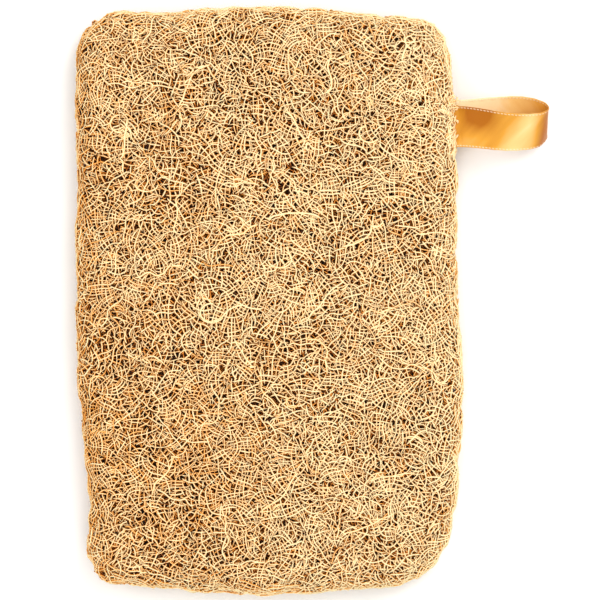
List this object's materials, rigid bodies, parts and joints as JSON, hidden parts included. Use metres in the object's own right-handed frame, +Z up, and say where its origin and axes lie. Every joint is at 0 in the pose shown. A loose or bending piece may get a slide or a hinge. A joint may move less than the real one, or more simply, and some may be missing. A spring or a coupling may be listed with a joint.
{
  "type": "natural loofah sponge",
  "caption": "Flat rectangular natural loofah sponge with rounded corners and a satin ribbon hanging loop, for washing and scrubbing.",
  "frame": {"origin": "under the middle of the pad, on the flat face it lies on", "axes": "+X across the pad towards the ribbon loop, +Y up the pad's length, +Z up through its thickness"},
  "size_m": [0.1236, 0.1539, 0.014],
  "materials": {
    "loofah_fibre": "dry matt plant fibre, pale straw to gold",
    "satin_ribbon": "gold satin weave with pale woven edges",
    "sewing_thread": "matt twisted thread"
  },
  "bodies": {
    "root": {"loofah_pad": "loofah_fibre", "ribbon_loop": "satin_ribbon", "ribbon_stitching": "sewing_thread"}
  },
  "joints": []
}
